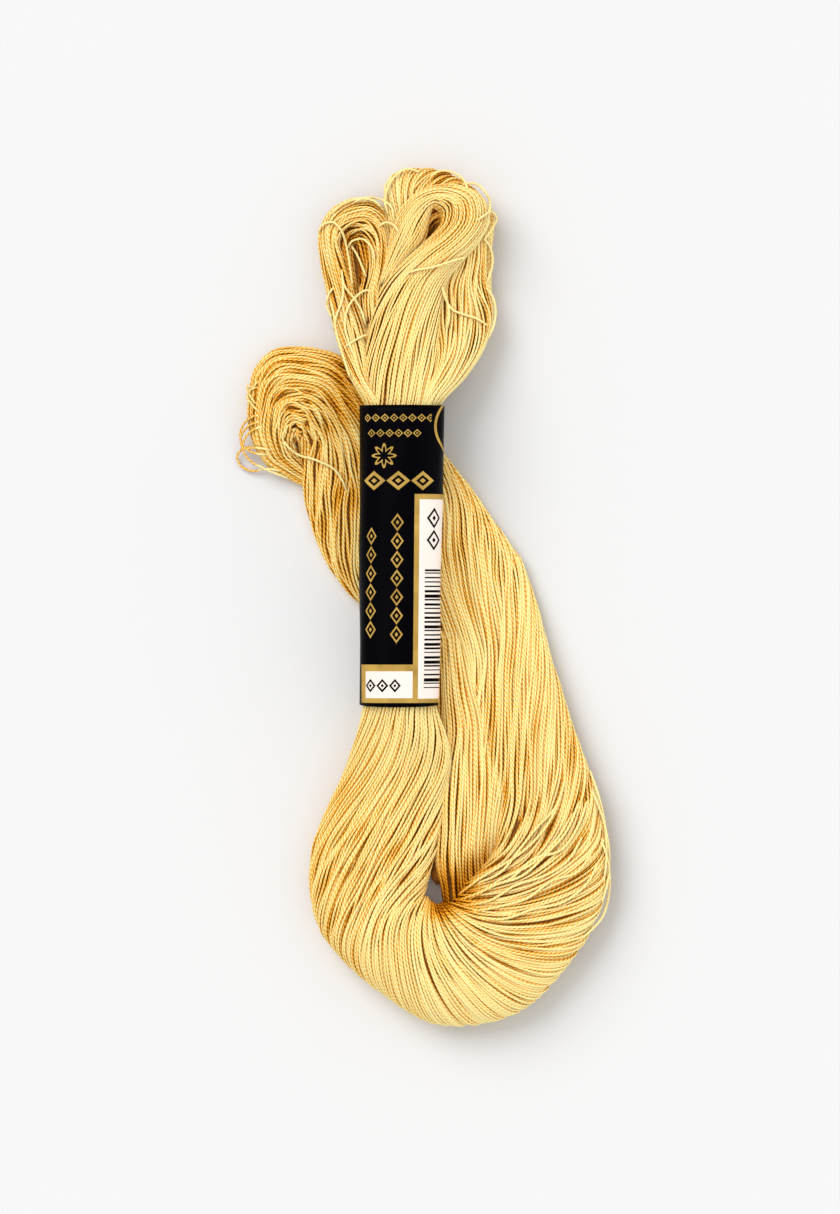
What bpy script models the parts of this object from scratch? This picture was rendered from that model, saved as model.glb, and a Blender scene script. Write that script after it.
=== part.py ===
"""A hank of pearl embroidery thread, folded in a U and held by a printed paper band.

Units are metres with +Z up. The hank lies flat on z = 0, its length along Y, and the origin is
the middle of its footprint. One long bundle of threads leaves the band downwards, turns round the
bottom of the U with a full twist, comes back up on the right, passes under the band and ends in
the left loop. Above the band the same threads end in three loops: the front one, the back one and
the left curl. All of them are one solid, because the hank is one length of thread.
"""

import math

import bmesh
import bpy
import numpy as np

MM = 0.001

# The middle of the footprint in the drawing's own millimetres, which becomes the origin.
MIDDLE_X = 0.97
MIDDLE_Y = 0.12

# Driving sizes, in millimetres.
BAND_LENGTH = 62.6
BAND_TOP_Y = 40.1
BAND_TOP_WIDTH = 17.2
BAND_FOOT_WIDTH = 16.0
BAND_TOP_CENTRE_X = -4.4
BAND_FOOT_CENTRE_X = -5.0
BAND_HEIGHT = 11.2
BAND_BASE = 6.0
PAPER = 0.35
CLEARANCE = 0.3
OVAL_POWER = 2.4
BAND_COLUMNS = 48
BAND_STATIONS = 6

# A bundle's section is an oval whose underside is flattened where it lies on something.
OVAL_MIDDLE = 0.42
OVAL_ABOVE = 0.58
OVAL_BELOW = 0.60
RIDGE_SHARE = 0.085
STATION_TRAVEL = 4.8
STATION_TURN = 24.0
CAP_SHRINK = 0.72
MAIN_COLUMNS = 48

# Each row is one section across a bundle: the inner and outer edge seen from above, the height
# that the section lies at, its own height, and how far the threads have turned, in degrees.
COLUMNS = ("inner_x", "inner_y", "outer_x", "outer_y", "base", "height", "turn")
OUTER = [COLUMNS.index("outer_x"), COLUMNS.index("outer_y")]
BASE = COLUMNS.index("base")
TURN = COLUMNS.index("turn")

MAIN_BUNDLE = (
    (3.2, 42.5, -12.2, 42.5, 6.6, 9.8, 0),
    (3.2, 35.0, -12.3, 35.0, 6.8, 9.5, 0),
    (2.6, 8.0, -12.4, 8.0, 6.8, 9.5, 0),
    (2.4, -19.5, -12.4, -19.5, 6.8, 9.5, 0),
    (3.0, -24.0, -12.8, -24.0, 6.4, 9.8, 0),
    (5.0, -29.0, -14.0, -29.0, 4.4, 10.2, 5),
    (6.5, -36.0, -16.8, -37.0, 1.2, 10.8, 12),
    (5.5, -43.5, -20.5, -45.0, 0.0, 11.0, 20),
    (4.0, -51.0, -23.4, -53.0, 0.0, 11.0, 31),
    (2.0, -57.0, -24.0, -61.0, 0.0, 11.2, 45),
    (1.0, -60.5, -22.4, -68.6, 0.0, 11.6, 68),
    (0.8, -62.4, -17.4, -76.0, 0.0, 12.0, 108),
    (1.4, -63.6, -8.6, -83.6, 0.0, 12.2, 160),
    (2.2, -64.2, 2.0, -89.8, 0.0, 12.2, 240),
    (3.2, -64.4, 12.0, -90.0, 0.0, 12.2, 325),
    (4.2, -64.2, 21.6, -86.6, 0.0, 12.0, 430),
    (5.0, -63.8, 28.8, -79.8, 0.0, 11.6, 520),
    (5.8, -63.0, 34.6, -71.8, 0.0, 11.2, 595),
    (6.6, -62.0, 38.4, -63.0, 0.0, 10.8, 660),
    (7.8, -60.0, 38.9, -56.0, 0.0, 10.4, 705),
    (9.5, -57.0, 38.4, -50.0, 0.0, 10.2, 735),
    (11.5, -53.0, 37.0, -42.5, 0.0, 10.0, 753),
    (12.0, -48.5, 34.8, -35.5, 0.0, 9.8, 770),
    (10.5, -42.5, 31.6, -27.0, 0.0, 9.4, 787),
    (7.8, -34.5, 28.9, -18.0, 0.0, 8.6, 802),
    (4.6, -27.0, 26.2, -9.4, 0.0, 7.2, 817),
    (1.0, -19.5, 23.7, 0.0, 0.0, 5.8, 830),
    (-4.0, -11.5, 19.8, 9.4, 0.0, 5.2, 843),
    (-9.2, -5.4, 13.6, 18.8, 0.0, 5.1, 855),
    (-14.4, -1.2, 6.6, 28.0, 0.0, 5.1, 865),
    (-19.8, 4.2, 0.0, 36.2, 0.0, 5.1, 872),
    (-23.8, 12.8, -7.0, 42.0, 0.0, 5.4, 880),
    (-25.8, 21.0, -11.5, 46.4, 0.0, 6.2, 888),
    (-26.0, 26.5, -14.5, 49.4, 0.0, 7.0, 896),
    (-25.6, 30.6, -18.0, 51.2, 0.0, 7.4, 904),
    (-26.0, 33.4, -22.2, 52.4, 0.0, 7.4, 912),
    (-26.6, 34.2, -26.6, 52.9, 0.0, 7.2, 920),
    (-27.2, 34.0, -31.4, 52.2, 0.0, 7.0, 928),
    (-27.6, 33.6, -35.0, 49.4, 0.0, 6.8, 934),
)
LEFT_RETURN = (
    (-27.2, 36.5, -31.6, 50.0, 0.8, 5.4, 0),
    (-27.8, 33.8, -35.8, 47.6, 0.0, 7.2, 6),
    (-28.2, 32.8, -36.8, 42.0, 0.0, 6.8, 12),
    (-28.0, 31.6, -36.8, 36.0, 0.0, 6.2, 18),
    (-27.2, 30.2, -34.4, 31.4, 0.0, 5.6, 24),
    (-25.6, 28.0, -30.0, 27.4, 0.0, 5.2, 30),
    (-23.6, 23.6, -27.0, 22.2, 0.0, 4.8, 36),
    (-20.6, 16.6, -23.8, 15.0, 0.2, 4.2, 40),
)
INNER_RUN = (
    (5.0, -70.5, 12.4, -69.5, 0.8, 5.0, 0),
    (3.8, -64.0, 12.6, -63.0, 0.0, 7.2, 4),
    (3.4, -59.0, 14.0, -57.5, 0.0, 7.8, 8),
    (1.8, -54.0, 15.6, -53.0, 0.0, 7.8, 11),
    (1.8, -49.0, 16.2, -48.5, 0.0, 7.8, 14),
    (2.4, -42.0, 15.4, -41.0, 0.0, 7.4, 20),
    (3.6, -33.0, 13.4, -32.0, 0.0, 6.4, 26),
    (4.2, -24.5, 11.4, -23.5, 0.2, 5.2, 30),
)
FRONT_LOOP = (
    (-11.4, 41.0, 2.2, 41.0, 7.2, 8.4, 0),
    (-12.6, 47.0, 3.8, 47.0, 5.0, 9.8, 5),
    (-11.8, 55.0, 3.8, 55.0, 2.4, 10.2, 12),
    (-10.2, 62.0, 4.6, 62.0, 1.0, 10.2, 20),
    (-7.0, 68.0, 6.0, 67.4, 1.0, 10.2, 30),
    (-2.4, 72.8, 8.6, 70.6, 1.6, 10.0, 40),
    (1.0, 75.4, 11.8, 74.4, 2.4, 9.6, 50),
    (3.4, 78.2, 14.0, 79.4, 3.0, 9.2, 60),
    (3.6, 80.6, 12.4, 84.4, 3.6, 8.6, 70),
    (2.6, 81.6, 6.4, 86.4, 4.2, 7.6, 80),
)
FRONT_RETURN = (
    (3.0, 81.4, 9.4, 85.2, 4.6, 6.4, 0),
    (2.4, 81.6, 5.0, 86.6, 4.2, 7.2, 10),
    (0.8, 80.4, -0.6, 85.6, 4.0, 6.8, 20),
    (0.0, 77.6, -4.6, 82.0, 3.8, 6.4, 30),
    (-0.8, 74.4, -6.8, 76.6, 3.4, 6.2, 40),
    (-3.0, 71.0, -8.0, 71.0, 2.8, 5.8, 50),
    (-6.0, 67.0, -9.6, 65.4, 2.2, 5.4, 60),
)
BACK_LOOP = (
    (-4.4, 65.6, -8.0, 67.4, 0.0, 5.6, 0),
    (-3.6, 71.8, -8.3, 73.8, 0.0, 6.4, 12),
    (-2.8, 76.0, -8.3, 81.2, 0.0, 7.0, 26),
    (-1.4, 78.4, -7.9, 87.4, 0.0, 7.4, 42),
    (0.6, 79.8, -4.4, 90.3, 0.0, 7.6, 58),
    (3.2, 79.8, 1.8, 90.4, 0.0, 7.6, 74),
    (5.2, 78.6, 7.4, 88.6, 0.0, 7.6, 90),
    (6.2, 76.6, 12.4, 84.6, 0.0, 7.6, 104),
    (6.2, 73.6, 15.0, 80.0, 0.0, 7.4, 116),
    (5.0, 69.2, 14.6, 73.6, 0.0, 7.4, 126),
    (3.4, 64.4, 14.4, 67.0, 0.0, 7.6, 136),
    (2.6, 58.6, 15.0, 59.0, 0.4, 8.0, 146),
    (1.6, 52.4, 13.0, 52.2, 2.0, 8.4, 154),
    (0.6, 46.4, 9.0, 46.2, 4.8, 8.4, 160),
    (-1.6, 41.0, 3.8, 41.0, 7.4, 7.6, 164),
)
LEFT_CURL = (
    (-6.6, 41.0, -11.4, 41.0, 7.6, 7.2, 0),
    (-10.2, 46.4, -15.4, 46.0, 5.8, 7.0, 8),
    (-11.4, 52.8, -17.6, 52.4, 3.8, 6.6, 16),
    (-12.6, 59.0, -19.4, 59.0, 2.0, 6.6, 24),
    (-14.0, 64.4, -20.7, 65.4, 0.6, 6.8, 32),
    (-15.6, 69.4, -21.8, 71.2, 0.0, 7.2, 40),
    (-16.6, 73.6, -22.2, 77.0, 0.0, 7.4, 50),
    (-16.2, 75.6, -19.6, 81.8, 0.0, 7.4, 62),
    (-14.6, 76.2, -14.4, 84.0, 0.0, 7.2, 74),
)
CURL_RETURN = (
    (-15.4, 76.6, -17.0, 82.4, 0.8, 5.6, 0),
    (-13.4, 76.0, -12.0, 84.4, 0.0, 7.2, 12),
    (-12.4, 73.8, -7.6, 82.0, 0.0, 7.0, 26),
    (-12.2, 70.6, -6.2, 75.6, 0.0, 7.0, 38),
    (-12.8, 67.2, -6.6, 70.4, 0.2, 7.0, 48),
    (-13.8, 64.2, -8.0, 65.0, 0.8, 6.6, 56),
    (-13.4, 58.0, -8.4, 57.6, 2.0, 6.0, 62),
)


def material(name, colour, roughness):
    """A plain surface in one colour."""
    made = bpy.data.materials.new(name)
    made.use_nodes = True
    shader = made.node_tree.nodes["Principled BSDF"]
    shader.inputs["Base Color"].default_value = (*colour, 1.0)
    shader.inputs["Roughness"].default_value = roughness
    shader.inputs["Metallic"].default_value = 0.0
    return made


def collection(name, hidden=False):
    """A collection in the scene, kept out of renders where it holds helpers."""
    made = bpy.data.collections.new(name)
    bpy.context.scene.collection.children.link(made)
    made.hide_render = hidden
    return made


def smooth_curve(rows, knots, at):
    """The smooth curve through the rows at their knots, with slopes taken from the neighbours."""
    slopes = np.gradient(rows, knots, axis=0)
    index = np.clip(np.searchsorted(knots, at, side="right") - 1, 0, len(knots) - 2)
    span = (knots[index + 1] - knots[index])[:, None]
    t = (at - knots[index])[:, None] / span
    before = rows[index] * (1 + 2 * t) * (1 - t) ** 2 + slopes[index] * span * t * (1 - t) ** 2
    after = rows[index + 1] * t**2 * (3 - 2 * t) + slopes[index + 1] * span * t**2 * (t - 1)
    return before + after


def stations(table):
    """Sections spaced along a bundle so that neither its outer edge nor its twist moves far."""
    rows = np.array(table, float)
    move = np.hypot(*np.diff(rows[:, OUTER], axis=0).T) / STATION_TRAVEL
    turn = np.abs(np.diff(rows[:, TURN])) / STATION_TURN
    knots = np.concatenate([[0.0], np.cumsum(np.hypot(move, turn))])
    count = max(len(rows), math.ceil(knots[-1]) + 1)
    made = smooth_curve(rows, knots, np.linspace(0.0, knots[-1], count))
    made[:, BASE] = np.maximum(made[:, BASE], 0.0)
    return made


def ridge_heights(columns):
    """How far each lock of threads stands out round a section, from 0 to 1, every other one high."""
    k = np.arange(columns)
    uneven = 0.5 + 0.5 * np.sin(2.4 * k + 1.3 * np.sin(0.9 * k))
    return np.where(k % 2 == 0, 0.55 + 0.45 * uneven, 0.18 * uneven)


def section_points(station, columns):
    """The ring of points of one section, turned by the twist and flat underneath."""
    inner_x, inner_y, outer_x, outer_y, base, height, turn = station
    inner = np.array([inner_x, inner_y])
    outer = np.array([outer_x, outer_y])
    angle = 2 * math.pi * np.arange(columns) / columns - math.radians(turn)
    across = np.cos(angle)
    up = np.sin(angle)
    ridge = RIDGE_SHARE * height * ridge_heights(columns)
    half_width = 0.5 * np.hypot(*(outer - inner))
    direction = (outer - inner) / (2 * half_width)
    reach = (half_width - RIDGE_SHARE * height) * across + ridge * across
    plan = 0.5 * (inner + outer) + reach[:, None] * direction
    rise = np.where(up > 0, OVAL_ABOVE, OVAL_BELOW) * height * (1 - 2 * RIDGE_SHARE)
    z = base + OVAL_MIDDLE * height + (rise + ridge) * up
    return np.column_stack([plan, np.maximum(z, base)])


def tube_mesh(name, rings, capped):
    """The skin over a row of rings of points, with a cap of triangles at each end if asked for."""
    count, columns = rings.shape[:2]
    k = np.arange(columns)
    after = (k + 1) % columns
    start = (np.arange(count - 1) * columns)[:, None]
    skin = np.stack([start + k, start + after, start + columns + after, start + columns + k], -1)
    points = rings.reshape(-1, 3)
    faces = skin.reshape(-1, 4).tolist()
    if capped:
        middles = np.array([rings[0].mean(axis=0), rings[-1].mean(axis=0)])
        last = (count - 1) * columns
        hub = np.full(columns, count * columns)
        faces += np.stack([hub, after, k], -1).tolist()
        faces += np.stack([hub + 1, last + k, last + after], -1).tolist()
        points = np.concatenate([points, middles])
    mesh = bpy.data.meshes.new(name)
    mesh.from_pydata((points - (MIDDLE_X, MIDDLE_Y, 0.0)) * MM, [], faces)
    shape = bmesh.new()
    shape.from_mesh(mesh)
    bmesh.ops.recalc_face_normals(shape, faces=shape.faces)
    shape.to_mesh(mesh)
    shape.free()
    mesh.shade_smooth()
    return mesh


def loft(name, table, columns):
    """A closed bundle through its sections, each end drawn in to a small cap."""
    rings = np.array([section_points(row, columns) for row in stations(table)])
    for end in (0, -1):
        middle = rings[end].mean(axis=0)
        rings[end] = middle + CAP_SHRINK * (rings[end] - middle)
    return bpy.data.objects.new(name, tube_mesh(name, rings, capped=True))


def oval_ring(centre_x, y, width, height, base):
    """A full oval standing across Y, fuller at its corners than an ellipse."""
    angle = 2 * math.pi * np.arange(BAND_COLUMNS) / BAND_COLUMNS
    across = np.sign(np.cos(angle)) * np.abs(np.cos(angle)) ** (2 / OVAL_POWER)
    up = np.sign(np.sin(angle)) * np.abs(np.sin(angle)) ** (2 / OVAL_POWER)
    x = centre_x + 0.5 * width * across
    z = base + 0.5 * height * (1 + up)
    return np.column_stack([x, np.full(BAND_COLUMNS, y), z])


def band_sleeve(name, thickness, spare):
    """The paper sleeve, or the room it needs: an open oval tube made solid by its thickness."""
    rings = []
    for share in np.linspace(0.0, 1.0, BAND_STATIONS):
        y = BAND_TOP_Y + spare - share * (BAND_LENGTH + 2 * spare)
        width = BAND_TOP_WIDTH + share * (BAND_FOOT_WIDTH - BAND_TOP_WIDTH) - PAPER
        centre = BAND_TOP_CENTRE_X + share * (BAND_FOOT_CENTRE_X - BAND_TOP_CENTRE_X)
        rings.append(oval_ring(centre, y, width, BAND_HEIGHT - PAPER, BAND_BASE + PAPER / 2))
    sleeve = bpy.data.objects.new(name, tube_mesh(name, np.array(rings), capped=False))
    wall = sleeve.modifiers.new("paper", "SOLIDIFY")
    wall.thickness = thickness * MM
    wall.offset = 0.0
    return sleeve


def join_to(body, other, operation, helpers):
    """Joins another solid to the body, or cuts it away, with an exact Boolean."""
    helpers.objects.link(other)
    other.hide_render = True
    other.display_type = "WIRE"
    step = body.modifiers.new(other.name, "BOOLEAN")
    step.operation = operation
    step.solver = "EXACT"
    step.object = other


def build():
    for old in list(bpy.data.objects):
        bpy.data.objects.remove(old)
    parts = collection("embroidery_hank")
    helpers = collection("helpers", hidden=True)

    hank = loft("hank", MAIN_BUNDLE, MAIN_COLUMNS)
    parts.objects.link(hank)
    hank.data.materials.append(material("pearl_cotton_thread", (0.80, 0.55, 0.22), 0.55))
    bundles = (
        ("left_return", LEFT_RETURN, 16),
        ("inner_run", INNER_RUN, 14),
        ("back_loop", BACK_LOOP, 18),
        ("front_loop", FRONT_LOOP, 24),
        ("front_return", FRONT_RETURN, 14),
        ("left_curl", LEFT_CURL, 16),
        ("curl_return", CURL_RETURN, 16),
    )
    for name, table, columns in bundles:
        join_to(hank, loft(name, table, columns), "UNION", helpers)
    join_to(hank, band_sleeve("band_room", PAPER + 2 * CLEARANCE, CLEARANCE), "DIFFERENCE", helpers)

    band = band_sleeve("label_band", PAPER, 0.0)
    parts.objects.link(band)
    band.data.materials.append(material("printed_paper", (0.02, 0.017, 0.02), 0.35))


build()
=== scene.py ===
"""A twisted hank of pearl cotton embroidery thread, held by a printed paper band.

Lengths in the tables are millimetres, as in the part's own drawing; the meshes are in metres.
"""

import math

import bpy
import numpy as np
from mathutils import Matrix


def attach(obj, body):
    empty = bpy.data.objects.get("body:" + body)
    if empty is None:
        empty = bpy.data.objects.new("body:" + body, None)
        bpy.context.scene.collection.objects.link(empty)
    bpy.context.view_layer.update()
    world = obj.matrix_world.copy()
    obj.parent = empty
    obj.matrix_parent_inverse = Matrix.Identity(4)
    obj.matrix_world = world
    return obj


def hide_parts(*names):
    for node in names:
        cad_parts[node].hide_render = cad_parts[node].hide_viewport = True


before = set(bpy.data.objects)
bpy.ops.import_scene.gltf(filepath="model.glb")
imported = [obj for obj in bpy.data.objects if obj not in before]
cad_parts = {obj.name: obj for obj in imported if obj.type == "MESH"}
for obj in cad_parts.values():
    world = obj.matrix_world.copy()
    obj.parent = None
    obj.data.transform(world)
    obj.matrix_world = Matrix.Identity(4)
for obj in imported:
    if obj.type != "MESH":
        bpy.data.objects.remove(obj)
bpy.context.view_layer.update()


# --------------------
# Camera. It looks straight down on the hank from far above, through a long lens, so that the
# hank's length runs up the picture and nothing is seen in perspective.

MM = 0.001
VIEW_HEIGHT = 254.94
VIEW_CENTRE = (-1.6, -2.2)
CAMERA_DISTANCE = 1200.0
HANK_MIDDLE_Z = 9.0
SENSOR = 36.0
FARTHEST_SEEN = 10.0

camera = bpy.data.objects.new("camera", bpy.data.cameras.new("camera"))
camera.data.sensor_fit = "VERTICAL"
camera.data.sensor_height = SENSOR
camera.data.lens = SENSOR * CAMERA_DISTANCE / VIEW_HEIGHT
camera.data.clip_end = FARTHEST_SEEN
camera.location = (VIEW_CENTRE[0] * MM, VIEW_CENTRE[1] * MM,
                   (HANK_MIDDLE_Z + CAMERA_DISTANCE) * MM)
bpy.context.scene.collection.objects.link(camera)
bpy.context.scene.camera = camera


# --------------------
# Floor and light. A pale matt sheet has a soft light of its own from the upper left, for the short
# shadow on the lower right. A key light and a fill light reach the hank alone, and an even white
# light comes from all round.

FLOOR_SIZE = 8000.0
FLOOR_WHITE, FLOOR_ROUGHNESS = "E5E5E5", 0.9
SKY_STRENGTH = 0.775
# Each light has its strength, its width in degrees, where it comes from, and whether the sheet is
# all that it lights or all that it leaves out.
LIGHTS = (
    ("sheet_light", 2.0, 42.0, (-0.8, 0.8, 1.0), "INCLUDE"),
    ("key_light", 1.4, 50.0, (-0.4, 0.6, 1.0), "EXCLUDE"),
    ("fill_light", 0.65, 70.0, (1.0, -0.3, 0.42), "EXCLUDE"),
)


def linear(hex_colour):
    """The linear colour of an sRGB hex value: each channel through the sRGB curve, and alpha 1."""
    channels = np.array([int(hex_colour[i:i + 2], 16) / 255 for i in (0, 2, 4)])
    low = channels / 12.92
    high = ((channels + 0.055) / 1.055) ** 2.4
    return (*np.where(channels <= 0.04045, low, high).tolist(), 1.0)


def add_node(tree, kind, inputs=None, **settings):
    """A node of this kind with its settings. Each input is set to a value, or joined to a socket or
    to another node's first output."""
    made = tree.nodes.new("ShaderNode" + kind)
    for name, value in settings.items():
        setattr(made, name, value)
    for key, value in (inputs or {}).items():
        if isinstance(value, bpy.types.Node):
            value = value.outputs[0]
        if isinstance(value, bpy.types.NodeSocket):
            tree.links.new(value, made.inputs[key])
        else:
            made.inputs[key].default_value = value
    return made


def new_material(name, inputs):
    """A material with its tree and its Principled shader, whose inputs are set to these."""
    made = bpy.data.materials.new(name)
    made.use_nodes = True
    tree = made.node_tree
    tree.nodes.clear()
    shader = add_node(tree, "BsdfPrincipled", inputs)
    add_node(tree, "OutputMaterial", {"Surface": shader.outputs["BSDF"]})
    return made, tree, shader


def new_piece(name, mesh):
    """An object of this mesh in the scene, at the origin."""
    made = bpy.data.objects.new(name, mesh)
    bpy.context.scene.collection.objects.link(made)
    return made


floor_mesh = bpy.data.meshes.new("floor")
corner = FLOOR_SIZE * MM / 2
sheet = [(-corner, -corner, 0), (corner, -corner, 0), (corner, corner, 0), (-corner, corner, 0)]
floor_mesh.from_pydata(sheet, [], [(0, 1, 2, 3)])
floor = new_piece("floor", floor_mesh)
matt_sheet = new_material("matt_white_sheet", {"Base Color": linear(FLOOR_WHITE),
                                               "Roughness": FLOOR_ROUGHNESS})[0]
floor_mesh.materials.append(matt_sheet)

for light_name, strength, width, came_from, on_sheet in LIGHTS:
    light = bpy.data.objects.new(light_name, bpy.data.lights.new(light_name, "SUN"))
    light.data.energy = strength
    light.data.angle = math.radians(width)
    light.location = came_from
    light.rotation_euler = (-light.location).to_track_quat("-Z", "Y").to_euler()
    bpy.context.scene.collection.objects.link(light)
    lit = bpy.data.collections.new(light_name + "_reach")
    lit.objects.link(floor)
    light.light_linking.receiver_collection = lit
    lit.collection_objects[0].light_linking.link_state = on_sheet

sky = bpy.data.worlds.new("sky")
sky.use_nodes = True
sky.node_tree.nodes["Background"].inputs["Color"].default_value = (1.0, 1.0, 1.0, 1.0)
sky.node_tree.nodes["Background"].inputs["Strength"].default_value = SKY_STRENGTH
bpy.context.scene.world = sky
bpy.context.scene.view_settings.view_transform = "Standard"


# --------------------
# The thread: two-ply pearl cotton, mercerised, so it is smooth and has a silky shine. Its two
# plies wind round each other and show as slanting beads. It is dyed straw yellow.

# Its thickness, the length in which its plies go round once, and how deep its beads are.
THREAD, LAY, BEAD_DEPTH = 0.60, 2.1, 0.12
# The shares in its colour of the plies' crowns and of facing outwards, which paint shade into the
# ply grooves and onto the flanks and a highlight onto the crowns, and of the fibre and of the dye.
CROWN_SHADE, FACING_SHADE, FIBRE, DYE = 0.43, 0.58, 0.20, 0.14
# The level of each colour, from the grooves and flanks in painted shade to the crowns in a painted
# highlight.
STRAW = ((0.06, "803C00"), (0.46, "EF9C0A"), (0.74, "F8CA5E"), (0.98, "FFF0A8"))
# Where the middle of the footprint lies in the tables.
MIDDLE = (0.97, 0.12, 0.0)
# A section's middle, and its reach above and below that, as shares of its height.
OVAL_MIDDLE, OVAL_ABOVE, OVAL_BELOW = 0.42, 0.58, 0.60
# How far threads stand proud of it, how they bunch at its sides, and how close they come, in
# thicknesses, before one sinks.
PROUD, BUNCHED, SPREAD = 0.20, 0.16, 1.15
# How fast a thread sinks, how deep each layer is, and how far its neighbours close over it.
SINKING, LAYER, CLOSING, NEIGHBOURS = 0.25, 0.75, 0.8, 5
# How far the locks drift round the section, in radians, and over what lengths.
SLOW_DRIFT, SLOW_LENGTHS = 1.9, (60, 90)
QUICK_DRIFT, QUICK_LENGTHS = 1.3, (22, 34)
PATCH_LENGTH = 17
# What changes a thread's tone: which it is and the place along it, at random; painted shade in
# partings, on sunk threads and in a lower layer; a painted top light on threads facing up; and a
# painted fill light on the side towards the lower right.
OWN_TONE, PLACE_TONE, PARTING_SHADE = 0.055, 0.05, 0.42
SUNK_SHADE, DEPTH_SHADE, TOP_LIGHT_TONE = 0.05, 0.75, 0.08
PAINTED_FILL_LIGHT, PAINTED_FILL_SIDE = 0.20, (0.85, -0.5, 0.0)
# Steps that never repeat, so that neighbours differ.
GOLDEN, STAGGER = 0.6180339, 0.618


def mercerised_cotton(name, colours):
    """Pearl cotton: orange in the grooves of its plies and on its flanks, as painted shade, and
    pale on its crowns, as a painted highlight.
    """
    made, tree, shader = new_material(name, {"Roughness": 0.42, "IOR": 1.53,
                                             "Specular IOR Level": 0.10})
    uv = add_node(tree, "UVMap", uv_map="thread")
    parts = add_node(tree, "SeparateXYZ", {0: uv})
    round_turn = add_node(tree, "Math",
        {0: parts.outputs["Y"], 1: 2 * math.pi}, operation="MULTIPLY")
    facing_shade = add_node(tree, "Math", {0: round_turn}, operation="COSINE")
    wind = add_node(tree, "Math",
        {0: parts.outputs["X"], 1: 2 * math.pi / LAY, 2: round_turn}, operation="MULTIPLY_ADD")
    wave = add_node(tree, "Math", {0: wind}, operation="COSINE")
    crown = add_node(tree, "Math", {0: wave}, operation="ABSOLUTE")
    tone = add_node(tree, "Attribute", attribute_name="tone")
    fibre = add_node(tree, "TexNoise", {"Vector": uv, "Scale": 2.2, "Detail": 2.0})
    place = add_node(tree, "TexCoord")
    dye = add_node(tree, "TexNoise",
        {"Vector": place.outputs["Object"], "Scale": 60.0, "Detail": 1.0})
    level = tone.outputs["Fac"]
    # Painted shade and light: the crowns are paler, the ply grooves and the flanks darker.
    for source, share in ((crown, CROWN_SHADE), (facing_shade, FACING_SHADE), (fibre, FIBRE), (dye, DYE)):
        level = add_node(tree, "Math", {0: source, 1: share, 2: level}, operation="MULTIPLY_ADD")
    ramp = add_node(tree, "ValToRGB", {0: level})
    stops = ramp.color_ramp.elements
    stops.remove(stops[1])
    stops[0].position = colours[0][0]
    for at, _ in colours[1:]:
        stops.new(at)
    for stop, (_, colour) in zip(stops, colours):
        stop.color = linear(colour)
    bump = add_node(tree, "Bump", {"Height": crown, "Strength": 0.6, "Distance": BEAD_DEPTH * MM})
    tree.links.new(ramp.outputs["Color"], shader.inputs["Base Color"])
    tree.links.new(bump.outputs["Normal"], shader.inputs["Normal"])
    return made


def running(steps):
    """How far these steps have come at each point along them, from 0."""
    return np.concatenate([np.zeros_like(steps[..., :1]), np.cumsum(steps, axis=-1)], axis=-1)


def unit(vectors):
    """The vectors at length 1."""
    return vectors / np.linalg.norm(vectors, axis=-1, keepdims=True)


def ring_faces(start, columns):
    """The corners of each face between the ring of points that starts here and the next ring."""
    k = np.arange(columns)
    after = (k + 1) % columns
    return np.stack([start + k, start + after, start + columns + after, start + columns + k], -1)


def plan_of(rows):
    """Each section's middle in plan, half its width, and the way from inner to outer edge."""
    inner, outer = rows[:, 0:2], rows[:, 2:4]
    half = 0.5 * np.hypot(*(outer - inner).T)
    return 0.5 * (inner + outer), half, (outer - inner) / (2 * half)[:, None]


def smooth_curve(rows, knots, at):
    """The smooth curve through rows at their knots: cubic pieces, slopes from the neighbours."""
    slopes = np.gradient(rows, knots, axis=0)
    index = np.clip(np.searchsorted(knots, at, side="right") - 1, 0, len(knots) - 2)
    span = (knots[index + 1] - knots[index])[:, None]
    t = (at - knots[index])[:, None] / span
    before = rows[index] * (1 + 2 * t) * (1 - t) ** 2 + slopes[index] * span * t * (1 - t) ** 2
    after = rows[index + 1] * t**2 * (3 - 2 * t) + slopes[index + 1] * span * t**2 * (t - 1)
    return before + after


def stations(table, travel, turn):
    """Sections along a bundle, spaced so that the outer edge moves `travel`, the twist `turn`."""
    rows = np.array(table, float)
    moved = np.hypot(*np.diff(rows[:, 2:4], axis=0).T) / travel
    turned = np.abs(np.diff(rows[:, 6])) / turn
    knots = running(np.hypot(moved, turned))
    made = smooth_curve(rows, knots, np.linspace(0.0, knots[-1], math.ceil(knots[-1]) + 1))
    made[:, 4] = np.maximum(made[:, 4], 0.0)
    return made


def waves(rng, shape, places, lengths):
    """A smooth random value for each thread along its length: a sum of sines of unlike lengths."""
    total = np.zeros((shape, len(places)))
    for length in lengths:
        start = rng.uniform(0, 2 * math.pi, (shape, 1))
        stretch = rng.uniform(0.75, 1.3, (shape, 1))
        total += np.sin(2 * math.pi * places[None, :] * stretch / length + start)
    return total / len(lengths)


def eased(values, passes):
    """The values smoothed along the thread, each drawn half way to the mean of its neighbours."""
    for _ in range(passes):
        values[:, 1:-1] = 0.25 * values[:, :-2] + 0.5 * values[:, 1:-1] + 0.25 * values[:, 2:]
    return values


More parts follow.
